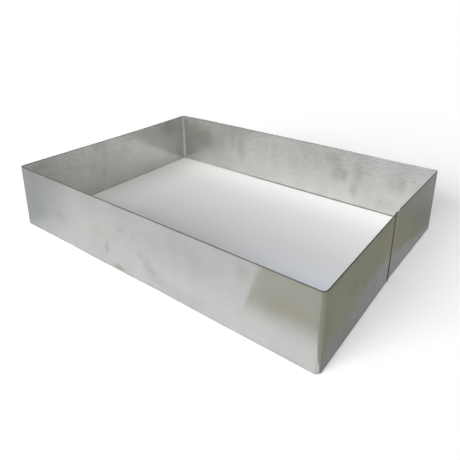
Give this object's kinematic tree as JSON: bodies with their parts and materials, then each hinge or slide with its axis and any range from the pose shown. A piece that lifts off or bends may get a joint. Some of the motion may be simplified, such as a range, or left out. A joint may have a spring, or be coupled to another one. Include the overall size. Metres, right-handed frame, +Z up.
{
  "type": "rectangular baking frame",
  "caption": "Open rectangular steel frame with rounded corners and a butt-welded seam, set on a baking sheet to hold batter, dough or layered cake.",
  "frame": {"origin": "middle of the opening at the bottom edge, which stands on the baking sheet", "axes": "+X along the long walls, towards the short wall with the welded seam; +Y towards the long wall at the back; +Z up"},
  "size_m": [0.4, 0.3, 0.075],
  "materials": {
    "steel": "satin cold-rolled stainless sheet",
    "weld": "as welded, darker and rougher than the sheet"
  },
  "bodies": {
    "root": {"frame_band": "steel", "seam_weld": "weld"}
  },
  "joints": []
}
